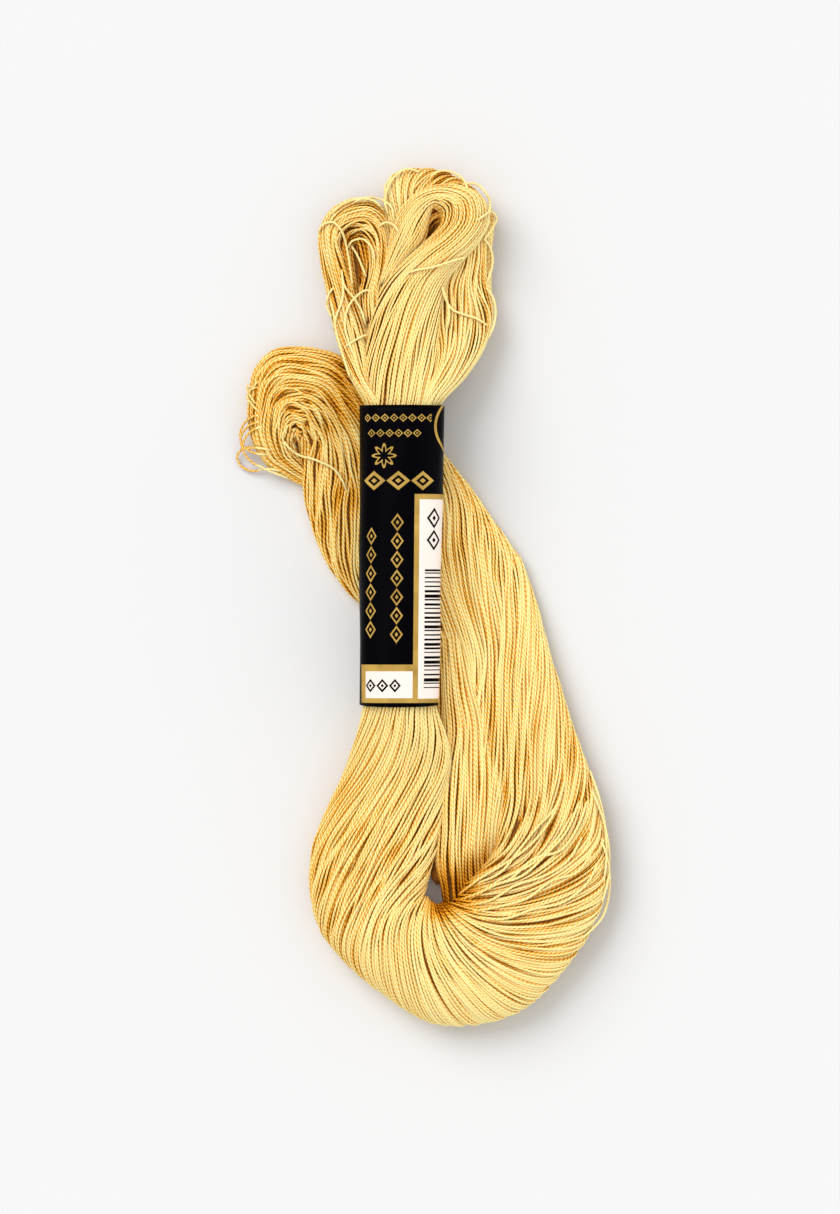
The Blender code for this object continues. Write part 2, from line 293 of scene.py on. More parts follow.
def bundle(table, threads, seed, depth=0.0, travel=1.8, turn=7.0, wander=0.30, locks=(13, 23),
           parted=0.30, loose=0.25, shift=0.0, pale=0.0, diameter=THREAD, shade_spots=()):
    """The paths of the threads on a twisted bundle, the way that each faces outwards, and its tone.

    A thread keeps its place round the oval section while the section turns, so at each station its
    angle is its own angle less the twist, drawn towards the middle of its lock, plus a slow wander.
    It lies under the skin by `depth`, by the parting between locks and by a looseness of its own.
    Where threads come closer together than they are thick, some sink, one thread deeper for each
    layer, and their neighbours close over them. A table's last two columns, if it has them, are
    how deep its locks part there, in millimetres, and how much paler its threads are, partly a tone
    of their own and partly painted light and shade. The tone holds painted shade in the partings,
    on sunk threads and on threads that lie `depth` lower, a painted top light on threads facing up,
    a painted fill light on the side towards the lower right, and painted shade round each of the
    spots given, each (x, y, reach, amount).
    """
    rng = np.random.default_rng(seed)
    rows = stations(table, travel, turn)
    centre, half, direction = plan_of(rows)
    base, height, twist = rows[:, 4], rows[:, 5], np.radians(rows[:, 6])
    gap = rows[:, 7] if rows.shape[1] > 7 else np.full(len(rows), parted)
    paler = rows[:, 8] if rows.shape[1] > 8 else np.full(len(rows), pale)
    places = running(np.hypot(*np.diff(centre + half[:, None] * direction, axis=0).T))
    pitch = 2 * math.pi / threads
    own = (np.arange(threads) + shift + rng.uniform(-0.2, 0.2, threads))[:, None] * pitch
    crest = np.zeros((threads, len(places)))
    drawn = np.zeros((threads, len(places)))
    strength = (0.12 + 0.5 * np.minimum(gap, 1.2))[None, :] / len(locks)
    for count in locks:
        start = rng.uniform(0, 2 * math.pi)
        along = 2 * math.pi * places[None, :]
        drift = SLOW_DRIFT * np.sin(along / rng.uniform(*SLOW_LENGTHS) + start)
        drift = drift + QUICK_DRIFT * np.sin(along / rng.uniform(*QUICK_LENGTHS) + 3 * own + start)
        phase = count * own + start + drift
        crest += (0.5 - 0.5 * np.cos(phase)) / len(locks)
        drawn += strength * 2.0 / count * np.sin(phase)
    strayed = wander * (0.7 + 1.6 * gap[None, :]) * pitch * waves(rng, threads, places, (21, 47))
    angle = own - twist[None, :] + drawn + strayed
    angle = angle + BUNCHED * np.sin(2 * angle)

    def laid(angle, under):
        """The threads' middles at these angles, this far under the skin, and the way each faces."""
        across, up = np.cos(angle), np.sin(angle)
        wide = np.maximum(half[None, :] - under, 0.3)
        tall = np.maximum(np.where(up > 0, OVAL_ABOVE, OVAL_BELOW) * height[None, :] - under, 0.2)
        plan = centre[None] + (wide * across)[..., None] * direction[None]
        z = base[None, :] + OVAL_MIDDLE * height[None, :] + tall * up
        z = np.maximum(z, base[None, :] + np.clip(under, diameter / 2, 0.4 * height[None, :]))
        faces = np.concatenate([(across / wide)[..., None] * direction[None],
                                (up / tall)[..., None]], axis=-1)
        return np.concatenate([plan, z[..., None]], axis=-1), faces

    def beside(values, reach):
        """The mean of each thread's value and its neighbours', as far as `reach` on each side."""
        return sum(np.roll(values, k, axis=0) for k in range(-reach, reach + 1)) / (2 * reach + 1)

    paths, _ = laid(angle, np.full(angle.shape, diameter / 2))
    along = unit(np.gradient(paths, axis=1))
    apart = np.roll(paths, -2, axis=0) - np.roll(paths, 2, axis=0)
    spacing = beside(0.25 * np.linalg.norm(np.cross(apart, along), axis=-1), 2)
    rank = (np.arange(threads) * GOLDEN)[:, None] % 1.0
    crowd = np.minimum(rank * SPREAD * diameter / np.maximum(spacing, 0.05), 3.99)
    into = np.clip((crowd % 1.0) / SINKING, 0.0, 1.0)
    sunk = np.where(crowd > 1.0, np.floor(crowd) - 1.0 + into * into * (3 - 2 * into), 0.0)
    room = 1.0 - 0.9 * np.minimum(sunk, 1.0)
    moved = np.cumsum(room / beside(room, NEIGHBOURS) - 1.0, axis=0)
    angle = angle + CLOSING * pitch * eased(moved - beside(moved, NEIGHBOURS), 6)
    patch = 0.5 + 0.5 * np.sin(3 * own + 2 * math.pi * places[None, :] / PATCH_LENGTH
                               + 1.7 * np.sin(places[None, :] / 9))
    parting = np.clip(1.25 - 1.9 * crest, 0.0, 1.0) ** 1.5
    parting = parting * (0.25 + 1.4 * patch**2) * (0.75 - 0.35 * np.cos(angle))
    under = depth + diameter / 2 - PROUD + gap[None, :] * parting + LAYER * diameter * sunk
    under = under + loose * (0.5 + 0.5 * waves(rng, threads, places, (33, 75)))
    paths, outwards = laid(angle, under)
    tones = OWN_TONE * rng.standard_normal((threads, 1))
    tones = tones + PLACE_TONE * waves(rng, threads, places, (13, 29))
    # Painted shade darkens the partings, the sunk threads and a lower layer, and a painted top
    # light brightens threads facing up; the table's paleness is partly painted light and shade too.
    tones = tones + paler[None, :] - PARTING_SHADE * np.minimum(gap, 1.0)[None, :] * parting
    tones = tones - SUNK_SHADE * np.minimum(sunk, 2.0) - DEPTH_SHADE * depth
    tones = tones + TOP_LIGHT_TONE * (np.sin(angle) - 1.1)
    outwards = unit(outwards)
    # Painted fill light: threads on the side towards the lower right are paler.
    tones = tones + PAINTED_FILL_LIGHT * np.clip(outwards @ PAINTED_FILL_SIDE, 0.0, 1.0)
    # Painted shade: the tone is darker round each of the spots.
    for x, y, reach, amount in shade_spots:
        apart = np.hypot(paths[..., 0] - x, paths[..., 1] - y)
        tones = tones - amount * np.exp(-((apart / reach) ** 2))
    return paths, outwards, tones


def thread_mesh(name, paths, outwards, tones, diameter=THREAD, sides=5):
    """Round threads as one mesh: a ring about each path point, square to the path.

    The ring's first direction is the outward one less its part along the path, its second the
    cross product of the two. The UV map holds the millimetres along the thread, from a start of its
    own, and the turn round it.
    """
    count, length = paths.shape[:2]
    along = unit(np.gradient(paths, axis=1))
    first = unit(outwards - (outwards * along).sum(-1, keepdims=True) * along)
    second = np.cross(along, first)
    taper = np.ones(length)
    taper[0] = taper[-1] = 0.05
    turn = 2 * math.pi * np.arange(sides) / sides
    ring = first[:, :, None] * np.cos(turn)[:, None] + second[:, :, None] * np.sin(turn)[:, None]
    points = paths[:, :, None] + 0.5 * diameter * taper[None, :, None, None] * ring
    points = (points - MIDDLE) * MM
    start = np.arange(count)[:, None, None] * length + np.arange(length - 1)[None, :, None]
    quads = ring_faces(start * sides, sides)
    walked = running(np.linalg.norm(np.diff(paths, axis=1), axis=-1))
    walked += (np.arange(count) * STAGGER * LAY)[:, None]
    here = np.broadcast_to(walked[:, :-1, None], quads.shape[:3])
    there = np.broadcast_to(walked[:, 1:, None], quads.shape[:3])
    low = np.broadcast_to(np.arange(sides) / sides, quads.shape[:3])
    high = low + 1 / sides
    uv = np.stack([np.stack([here, low], -1), np.stack([here, high], -1),
                   np.stack([there, high], -1), np.stack([there, low], -1)], axis=3)
    mesh = bpy.data.meshes.new(name)
    mesh.vertices.add(points.size // 3)
    mesh.vertices.foreach_set("co", points.ravel())
    mesh.loops.add(quads.size)
    mesh.loops.foreach_set("vertex_index", quads.ravel().astype(np.int32))
    mesh.polygons.add(quads.size // 4)
    mesh.polygons.foreach_set("loop_start", np.arange(0, quads.size, 4, dtype=np.int32))
    mesh.update(calc_edges=True)
    mesh.uv_layers.new(name="thread").data.foreach_set("uv", uv.ravel().astype(np.float32))
    tone = mesh.attributes.new("tone", "FLOAT", "POINT")
    tone.data.foreach_set("value", np.repeat(tones.ravel(), sides).astype(np.float32))
    mesh.shade_smooth()
    return mesh


straw_cotton = mercerised_cotton("mercerised_cotton_straw", STRAW)
shown = []


def thread_piece(name, made, sides=5, diameter=THREAD):
    """The threads of one bundle as a piece of the hank. Their paths are added to those shown."""
    shown.append(made[0].reshape(-1, 3))
    piece = new_piece(name, thread_mesh(name, *made, diameter=diameter, sides=sides))
    piece.data.materials.append(straw_cotton)
    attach(piece, "root")
    return piece


# --------------------
# The long bundle: down out of the band, round the bottom of the U with its twist, up on the
# right, under the band and round the left loop, whose threads turn back beneath the stem.

# Each row is one section: inner and outer edge from above, base, height, twist in degrees, how deep
# the locks of threads part there, and how much paler its threads are, partly a tone of their own
# and partly painted light and shade.
LONG_BUNDLE = (
    (2.5, -6, -12.4, -6, 6.8, 9.5, -20, 0.1, 0.06),
    (2.4, -19.5, -12.4, -19.5, 6.8, 9.5, -4, 0.1, 0.06),
    (3, -24, -12.8, -24, 6.4, 9.8, 4, 0.1, 0.05),
    (5, -29, -14, -29, 4.4, 10.2, 14, 0.1, 0.03),
    (6.5, -36, -16.8, -37, 1.2, 10.8, 28, 0.14, -0.02),
    (5.5, -43.5, -20.5, -45, 0, 11, 41, 0.2, -0.04),
    (4, -51, -23.4, -53, 0, 11, 54, 0.45, -0.06),
    (2, -57, -24, -61, 0, 11.2, 69, 0.5, -0.05),
    (1, -60.5, -22.4, -68.6, 0, 11.6, 94, 0.4, -0.03),
    (0.8, -62.4, -17.4, -76, 0, 12, 140, 0.25, 0),
    (1.4, -63.6, -8.6, -83.6, 0, 12.2, 205, 0.1, 0),
    (2.2, -64.2, 2, -89.8, 0, 12.2, 292, 0.18, 0.04),
    (3.2, -64.4, 12, -90, 0, 12.2, 380, 0.35, 0.05),
    (4.2, -64.2, 21.6, -86.6, 0, 12, 485, 0.75, 0.03),
    (5.6, -64.4, 28.8, -79.8, 0, 11.6, 575, 0.9, 0.02),
    (7, -62.9, 34.6, -71.8, 0, 11.4, 650, 1.05, 0.02),
    (8.4, -61.2, 38.4, -63, 0, 11.2, 715, 1.1, 0.02),
    (10, -59.4, 38.9, -56, 0, 11, 762, 1.1, 0.02),
    (12.2, -57.2, 38.4, -50, 0, 10.8, 796, 1, 0.02),
    (14.2, -53.8, 37, -42.5, 0, 10.4, 822, 0.85, 0),
    (13.6, -49.2, 34.8, -35.5, 0, 9.6, 848, 0.7, -0.02),
    (11, -42.6, 31.6, -27, 0, 9.4, 875, 0.45, -0.05),
    (7.8, -34.5, 28.9, -18, 0, 8.6, 901, 0.4, -0.04),
    (4.6, -27, 26.2, -9.4, 0, 7.2, 926, 0.35, 0),
    (1, -19.5, 23.7, 0, 0, 5.8, 949, 0.35, 0.04),
    (-11.1, -3.8, 20.4, 8.6, 0, 5.1, 972, 0.35, 0.05),
    (-17.8, 3.1, 16.2, 14.5, 0, 5.1, 990, 0.3, -0.02),
    (-22.1, 10.9, 11.5, 21.4, 0, 5.1, 1008, 0.3, -0.08),
    (-24.8, 19.3, 5.7, 28.8, 0, 5.1, 1024, 0.4, -0.1),
    (-25.8, 25.6, 0.2, 35.5, 0, 5.3, 1036, 0.5, -0.06),
    (-26, 29.8, -6.7, 41.8, 0, 5.7, 1045, 0.6, -0.1),
    (-26.2, 31.5, -11.5, 46.2, 0, 6.4, 1050, 0.7, -0.1),
    (-26.5, 32.3, -14.9, 49.6, 0, 7, 1053, 0.75, -0.1),
    (-26.5, 32.8, -18.7, 51.7, 0, 7.4, 1055, 0.75, -0.12),
    (-26.7, 33.2, -22.5, 52.5, 0, 7.4, 1056, 0.75, -0.12),
    (-26.7, 33.4, -26.5, 52.9, 0, 7.2, 1057, 0.75, -0.12),
    (-26.7, 33.4, -31.3, 52.3, 0, 7, 1058, 0.75, -0.12),
    (-26.7, 33.2, -35.1, 48.9, 0, 7, 1059, 0.75, -0.12),
    (-26.7, 32.8, -36.8, 42.6, 0, 6.8, 1060, 0.75, -0.12),
    (-26.9, 32.1, -37, 36.3, 0, 6.2, 1061, 0.75, -0.12),
    (-26.7, 31.5, -36.1, 32.5, 0, 5.6, 1062, 0.75, -0.12),
    (-26.5, 30.2, -33.8, 28.6, 0, 4.8, 1062, 0.75, -0.12),
    (-25.8, 29.2, -30, 26, 0, 4, 1062, 0.5, -0.12),
    (-24.6, 28.1, -26, 23.7, 0, 3, 1062, 0.5, -0.12),
    (-22.3, 26.7, -23.1, 22.7, 0, 2.2, 1062, 0.5, -0.12),
    (-19.1, 25, -19.9, 21.6, 0, 1.8, 1062, 0.5, -0.12),
)

# Painted shade: the tone is darker round these places, at the pinch and where bundles meet, where
# the threads lie in shade: (x, y, reach, amount).
PAINTED_SHADE_SPOTS = ((3.6, -65.4, 2.6, 0.75), (8.0, -62.0, 4.2, 0.5), (-12.5, 49.0, 5.0, 0.2),
           (-14.5, 41.5, 5.0, 0.3), (-20.5, -40.0, 6.0, 0.14), (4.5, -3.0, 5.0, 0.14),
           (4.0, 8.0, 4.5, 0.16), (-14.5, 22.0, 5.0, 0.1), (5.0, -59.0, 4.0, 0.25),
           (11.0, -56.2, 3.0, 0.25))
# A second layer lies this far under the first, each thread between two of those above.
LAYER_DEPTH, BETWEEN = 0.34, 0.5

paths, outwards, tones = bundle(LONG_BUNDLE, threads=128, seed=3, shade_spots=PAINTED_SHADE_SPOTS)
for half_name, chosen in (("long_bundle_threads_a", slice(0, 64)),
                          ("long_bundle_threads_b", slice(64, 128))):
    piece = thread_piece(half_name, (paths[chosen], outwards[chosen], tones[chosen]))
    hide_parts("hank")
under_layer = bundle(LONG_BUNDLE, threads=128, seed=3, depth=LAYER_DEPTH, travel=2.5, turn=10.5,
                     shift=BETWEEN, shade_spots=PAINTED_SHADE_SPOTS)
thread_piece("long_bundle_under_layer", under_layer, sides=4)

# A smaller loop of the same threads closes its eye from below. Its threads are painted much darker,
# as shade for the eye's dark centre.
LOOP_EYE = (
    (-25, 25.6, -22.2, 26.4, 0.2, 3.2, 0),
    (-25.6, 28.6, -22.6, 29.6, 0.2, 3.6, 8),
    (-26, 31.4, -23.2, 33.2, 0.2, 3.8, 16),
    (-26.4, 32.8, -24.6, 35.8, 0.2, 3.8, 24),
    (-26.8, 33.2, -27, 36.8, 0.2, 3.8, 32),
    (-27.2, 32.6, -29.4, 35.4, 0.2, 3.8, 40),
    (-27.2, 31.4, -30.4, 32.6, 0.2, 3.8, 48),
    (-26.8, 29.8, -30, 29.4, 0.2, 3.6, 56),
    (-26.2, 28.2, -28.4, 26.8, 0.2, 3, 62),
)
thread_piece("loop_eye_threads", bundle(LOOP_EYE, threads=24, seed=8, pale=-0.5, parted=0.5))


# --------------------
# The inner run: threads of the right arm that lie low and straight beside the left one and dive
# under the twist at the pinch.

INNER_RUN = (
    (5, -68.5, 19.6, -57, 0.6, 3.2, 0),
    (4.2, -65, 19, -53.8, 0.2, 4.2, 2),
    (3.8, -62, 18.4, -50.6, 0, 5.8, 4),
    (3.2, -59.4, 18.6, -47, 0, 8.4, 6),
    (2.6, -56, 19, -43, 0, 9.4, 9),
    (2.4, -51, 19.2, -38, 0, 9.6, 13),
    (2, -45, 18.8, -33, 0, 9.2, 18),
    (2, -38, 17.4, -27.5, 0, 8.2, 25),
    (3, -31, 15.2, -22.5, 0, 8.2, 33),
    (2.6, -24, 12.6, -18.5, 0.1, 7.6, 40),
    (2.4, -15, 10.4, -12.6, 0.2, 6.4, 46),
    (1.8, -6, 9, -5.2, 0.2, 4.4, 52),
)

for layer_name, depth, shift, sides in (("inner_run_threads", 0.0, 0.0, 5),
                                        ("inner_run_under_layer", LAYER_DEPTH, BETWEEN, 4)):
    made = bundle(INNER_RUN, threads=76, seed=11, depth=depth, shift=shift, pale=-0.04,
                  shade_spots=PAINTED_SHADE_SPOTS)
    thread_piece(layer_name, made, sides=sides)


# --------------------
# The head above the band: the same threads end in a front loop, a back loop and a left curl.

FRONT_LOOP = (
    (-11.8, 30, 2.4, 30, 7.2, 8.8, -14),
    (-11.8, 40, 3.2, 40, 7, 9, 5),
    (-12.6, 47, 3.8, 47, 5, 9.8, 17),
    (-11.8, 55, 3.8, 55, 2.4, 10.2, 30),
    (-10.2, 62, 4.6, 62, 1, 10.2, 42),
    (-7, 68, 6, 67.4, 1, 10.2, 53),
    (-2.4, 72.8, 8.6, 70.6, 1.6, 10, 62),
    (1, 75.4, 11.8, 74.4, 2.4, 9.6, 71),
    (3.4, 78.2, 14, 79.4, 3, 9.2, 81),
    (3.6, 80.6, 12.4, 84.4, 3.6, 8.6, 91),
    (2, 81.6, 6, 86.8, 4.2, 7.6, 101),
    (1.6, 80.4, -0.6, 85.6, 4, 6.8, 111),
    (1.2, 77.6, -4.6, 82, 3.8, 6.4, 121),
    (0.2, 74.4, -6.8, 76.6, 3.4, 6.2, 131),
    (-3, 71, -8, 71, 2.8, 5.8, 141),
    (-6, 67, -9.6, 65.4, 2.2, 5.4, 151),
)
# Its last two columns are how deep its locks part and how much paler its threads are, partly a tone
# of their own and partly painted light and shade.
BACK_LOOP = (
    (-4.4, 65.6, -8, 67.4, 0, 5.6, 0, 0.35, -0.1),
    (-3.6, 71.8, -8.3, 73.8, 0, 6.4, 12, 0.35, -0.08),
    (-2.8, 76, -8.3, 81.2, 0, 7, 40, 0.35, 0),
    (-1.4, 78.4, -7.9, 87.4, 0, 7.4, 95, 0.35, 0.06),
    (0.6, 79.8, -4.4, 90.3, 0, 7.6, 165, 0.35, 0),
    (3.2, 79.8, 1.8, 90.4, 0, 7.6, 235, 0.35, -0.14),
    (5.2, 78.6, 7.4, 88.6, 0, 7.6, 300, 0.35, -0.12),
    (6.2, 76.6, 12.4, 84.6, 0, 7.6, 350, 0.35, -0.06),
    (6.2, 73.6, 15, 80, 0, 7.4, 385, 0.4, -0.05),
    (5, 69.2, 14.6, 73.6, 0, 7.4, 400, 0.4, 0),
    (1, 64.4, 14.4, 67, 0, 7.6, 412, 0.35, 0.02),
    (-0.8, 58.6, 15, 59, 0.4, 8, 422, 0.3, 0.04),
    (-2, 52.4, 13, 52.2, 2, 8.4, 430, 0.22, 0.05),
    (-2.8, 46.4, 9, 46.2, 4.8, 8.4, 436, 0.22, 0.05),
    (-3.8, 40, 3.6, 40, 7.4, 7.6, 440, 0.22, 0.12),
    (-1.6, 30, 2.4, 30, 7.4, 7.6, 444, 0.22, 0.12),
)
LEFT_CURL = (
    (-7.6, 30, -12, 30, 7.6, 7.2, -6),
    (-7.6, 40, -12, 40, 7.6, 7.2, 0),
    (-10.2, 46.4, -15.4, 46, 5.8, 7, 8),
    (-11.4, 52.8, -17.6, 52.4, 3.8, 6.6, 16),
    (-12.6, 59, -19.4, 59, 2, 6.6, 24),
    (-14, 64.4, -20.7, 65.4, 0.6, 6.8, 32),
    (-15.6, 69.4, -21.8, 71.2, 0, 7.2, 40),
    (-16.6, 73.6, -22.2, 77, 0, 7.4, 50),
    (-16.2, 75.6, -19.6, 81.8, 0, 7.4, 62),
    (-14.6, 76.2, -14.4, 84.2, 0, 7.2, 74),
    (-13.2, 75.6, -10.4, 84, 0, 7.2, 86),
    (-12.4, 73.8, -7.4, 81, 0, 7, 98),
    (-12.2, 70.6, -6.2, 75.6, 0, 7, 108),
    (-12.8, 67.2, -6.6, 70.4, 0.2, 7, 118),
    (-13.8, 64.2, -8, 65, 0.8, 6.6, 126),
    (-13.4, 58, -8.4, 57.6, 2, 6, 132),
)

# Short nested loops fill the eyes of the curl and of the front loop, and the valley between them.
# Their threads are painted darker, as shade in these hollows.
CURL_EYE = (
    (-13, 61.1, -16.4, 61.1, 0, 4.2, 0),
    (-13.4, 64.9, -17.2, 64.9, 0, 4.6, 6),
    (-13.9, 68.7, -18.1, 69.1, 0, 4.8, 12),
    (-14.3, 71.6, -18.3, 72.9, 0, 5, 18),
    (-14.7, 73.5, -17.8, 76, 0, 5, 24),
    (-14.5, 74.3, -16.4, 77.9, 0, 5, 30),
    (-14.1, 74.3, -14.1, 78.8, 0, 5, 36),
    (-14.1, 73.5, -11.5, 77.1, 0, 5, 42),
    (-14.1, 71.4, -10.3, 73.7, 0, 5, 48),
    (-13.9, 69.1, -10.1, 69.7, 0, 4.8, 54),
    (-13.7, 66.6, -10.5, 66.1, 0, 4.6, 60),
    (-13.9, 63.6, -11.3, 62.6, 0, 4.2, 66),
)
FRONT_EYE = (
    (0.4, 73.9, -3.1, 72.5, 2.2, 4.6, 0),
    (1.1, 75.6, -2.3, 75.8, 2.2, 5, 8),
    (1.9, 77.3, -0.6, 79.2, 2.2, 5.2, 16),
    (2.9, 78.5, 1.9, 81.7, 2.2, 5.4, 24),
    (4, 78.8, 5, 82.1, 2.2, 5.4, 32),
    (4.6, 77.9, 7.3, 80.4, 2.2, 5.4, 40),
    (4.2, 76.6, 6.9, 76.6, 2.2, 5.2, 48),
    (2.7, 75, 4.8, 73.3, 2.2, 5, 56),
    (0.4, 72.9, 1.7, 70.3, 2.2, 4.6, 64),
)
VALLEY = (
    (-15.5, 65.9, -10.7, 65.9, 0.3, 4.2, 0),
    (-15.5, 61.3, -10.3, 61.3, 0.4, 5, 8),
    (-15.1, 56.1, -10.3, 56.1, 1, 5.8, 16),
    (-14.5, 50.8, -10.1, 50.8, 2.4, 6.4, 24),
    (-13.4, 45.6, -9.4, 45.6, 4.6, 6.8, 32),
    (-11.8, 40.9, -7.8, 40.9, 7.6, 6.4, 40),
    (-10.8, 33, -6.8, 33, 8.4, 6.4, 46),
)

# The threads of the head are pulled tighter and so are a little thinner.
HEAD_THREAD = 0.52
# Painted shade on the head's threads, round the front loop's eye and the curl's eye: (x, y, reach,
# amount).
HEAD_SHADE_SPOTS = {"front_loop": ((3.0, 77.5, 5.0, 0.22), (8.5, 80.0, 3.5, 0.12)),
              "left_curl": ((-15.0, 69.5, 3.4, 0.3), (-17.5, 64.5, 4.0, 0.14))}
# Each has its threads, the counts of its locks, how deep they part, how much its threads wander,
# and how much paler they are, partly a tone of their own and partly painted light and shade; the
# eyes and the valley are painted darker, as shade.
HEADS = (("front_loop", FRONT_LOOP, 68, (7, 12), 0.12, 0.3, 0.02),
         ("back_loop", BACK_LOOP, 60, (5, 9), 0.3, 0.7, 0.0),
         ("left_curl", LEFT_CURL, 38, (5, 9), 0.4, 0.7, -0.04),
         ("curl_eye", CURL_EYE, 18, (4, 7), 0.5, 0.7, -0.4),
         ("front_eye", FRONT_EYE, 20, (4, 7), 0.4, 0.7, -0.34),
         ("valley", VALLEY, 24, (4, 7), 0.4, 0.7, -0.12))
for number, (loop_name, table, threads, locks, parted, wander, pale) in enumerate(HEADS):
    for layer, depth, shift, sides in (("_threads", 0.0, 0.0, 5),
                                       ("_under_layer", LAYER_DEPTH, BETWEEN, 4)):
        made = bundle(table, threads, seed=30 + number, depth=depth, shift=shift, locks=locks,
                      parted=parted, wander=wander, loose=0.1 + 0.5 * wander, pale=pale,
                      diameter=HEAD_THREAD, shade_spots=HEAD_SHADE_SPOTS.get(loop_name, ()))
        thread_piece(loop_name + layer, made, sides=sides, diameter=HEAD_THREAD)


# --------------------
# Loose threads: turns that have slipped out of the loops and the curls, and lie across the others
# or stand out from the edge. Each comes out of the bundle and goes back in.

# Each turn is a row of points (x, y, z).
LOOSE_THREADS = (
    # Across the left curl, the valley and the front loop.
    ((-22.1, 76.6, 6.5), (-21.2, 78.3, 7.4), (-18.9, 78.8, 7.8), (-17.2, 77.1, 7.8),
     (-16.2, 74.1, 7.6), (-15.5, 70.3, 7), (-14.9, 65.7, 6)),
    ((-17.2, 69.1, 6.5), (-16.8, 65.5, 7.6), (-17, 62.4, 8), (-18.1, 59.4, 7.6),
     (-18.9, 56.1, 6.5)),
    ((-17.4, 67.4, 7), (-16.2, 64.9, 8.2), (-14.5, 62.8, 8.6), (-13, 60.3, 8.4),
     (-12, 56.9, 8.5)),
    ((-9.9, 64, 8.6), (-12, 64.5, 9.2), (-14.3, 63, 9.2), (-15.8, 60.7, 8.6), (-16.4, 57.1, 8),
     (-15.5, 53.3, 8.4), (-13.9, 49.4, 9.4)),
    ((-16.4, 52.5, 7.6), (-14.9, 53.5, 9), (-13, 54.6, 10.2), (-11.5, 55.2, 10.4)),
    ((-16, 73.5, 5.6), (-14.9, 75, 6.6), (-12.8, 75.4, 7), (-10.9, 73.7, 7), (-10.1, 70.3, 6.4)),
    ((-15.3, 74.3, 5.8), (-14.1, 72.5, 6.4), (-13, 70.1, 6.2), (-12, 67.4, 6)),
    ((-3.8, 67.8, 11.4), (-1.5, 68.5, 12.4), (1.9, 69.1, 12.8), (5.7, 70.3, 12.8), (9, 71.4, 12)),
    ((4, 65.3, 12.2), (4.6, 63, 12.7), (6.3, 60.3, 12.7), (8.6, 59.4, 12.4), (11.1, 58.6, 11.6),
     (13.7, 57.1, 9.8)),
    ((4.2, 64.9, 12.2), (5, 62.4, 12.6), (5.5, 59.4, 12.4), (5, 56.1, 12.4)),
    # Off the edge of the head and along its top.
    ((12.8, 75.4, 8), (14.1, 73.7, 6.4), (14.7, 71.2, 5.4), (14.3, 68.5, 5.4), (13.2, 65.7, 6.4)),
    ((13.2, 65.3, 6.6), (14.7, 63.2, 5.6), (15.3, 60.3, 5), (14.9, 57.3, 5.2), (13.7, 54.4, 6.4)),
    ((11.1, 78.8, 9), (12.8, 80, 9.4), (14.3, 81.1, 9), (15.5, 80, 8), (14.5, 77.5, 7.4),
     (12.8, 75, 7.4)),
    ((-7.3, 80.4, 7.4), (-8, 83.4, 8), (-7.3, 86.3, 8.4), (-5.7, 88.8, 8.4), (-3.4, 90.1, 8),
     (-0.6, 89.5, 7.6)),
    ((1.5, 88.4, 7.6), (3.6, 89.7, 8), (6.1, 89.5, 8), (8.4, 88, 7.8), (9.4, 85.5, 7.6)),
    ((8.2, 86.7, 8.2), (10.7, 87.1, 8.4), (12.8, 85.5, 8.4), (14.1, 83, 8), (13.7, 80, 8)),
    ((-9.4, 77.9, 7.6), (-7.8, 78.8, 8), (-6.1, 78.1, 8), (-5, 76.4, 7.8)),
    ((-19.5, 80.4, 6.6), (-17, 82.7, 7.2), (-13.7, 83.8, 7.4), (-10.3, 83.4, 7.2), (-8, 81.3, 7)),
    ((-15.3, 82.7, 7), (-12.4, 84, 7.2), (-9, 83.8, 7.2), (-6.7, 82.1, 7), (-6.1, 79.2, 7)),
    # Down the curl's flank and across the left loop's threads.
    ((-19.7, 63.2, 6), (-18.9, 60.3, 6.6), (-18.3, 56.1, 6.8), (-17, 51.4, 7.4), (-15.3, 46, 9)),
    ((-18.7, 65.3, 5), (-19.9, 63.6, 4.6), (-20.2, 61.5, 4.6), (-19.1, 58.6, 5.6)),
    ((-29.4, 33, 6.4), (-28.1, 31.3, 7.6), (-25.8, 29.8, 8), (-23.5, 29.2, 8), (-21.2, 28.3, 7.8),
     (-18.9, 27.1, 7.4), (-17, 24.6, 6.4), (-15.8, 21.6, 5.8)),
    # Off the bend's outer edge.
    ((35.1, -36.3, 8), (37.2, -42.6, 6.6), (38.4, -48.9, 5.6), (38.6, -54.8, 5),
     (38, -60.3, 5.4)),
    ((35.5, -40.5, 8), (37.8, -46.4, 6.2), (39.1, -52.7, 4.8), (39.1, -58.6, 4.4),
     (37.6, -64.5, 5.4)),
    ((37.4, -50.6, 6.6), (38.9, -55.6, 5.2), (39.3, -61.1, 4.2), (38.2, -66.6, 4.4),
     (32.6, -72.6, 7.6)),
    # Rings and tufts off the left loop.
    ((-33.8, 38.4, 5.4), (-35.9, 38, 4.6), (-37.8, 36.5, 3.6), (-38.6, 34.2, 2.8),
     (-37.8, 31.7, 2.4), (-35.5, 30.4, 3), (-32.5, 30, 4.4)),
    ((-33, 36.1, 5), (-35.7, 35.3, 4.2), (-37.6, 33.4, 3.2), (-38, 31.1, 2.4), (-36.5, 28.8, 2),
     (-33.8, 27.3, 2.6), (-28.3, 25, 3.6)),
    ((-35.9, 31.7, 2.6), (-38.2, 31.3, 1.6), (-39.3, 29.6, 1), (-38.4, 27.7, 0.8),
     (-36.3, 26.7, 0.8), (-33.4, 27.1, 1.6), (-30, 26.7, 2.6)),
    ((-33.8, 37.2, 5), (-37, 35.9, 3.8), (-38.4, 33.8, 2.8), (-38.2, 31.7, 2.2), (-35.1, 31.5, 3),
     (-31.7, 30.9, 4.6)),
    ((-34.6, 45.6, 5), (-36.1, 44.3, 4.4), (-37, 44.5, 4), (-36.5, 42.6, 3.8),
     (-35.1, 40.5, 4.4)),
    ((-34.9, 44.3, 4.2), (-36.5, 43.5, 3.4), (-37, 42.2, 3), (-35.9, 40.5, 3.2),
     (-34.6, 38.9, 3.8)),
)
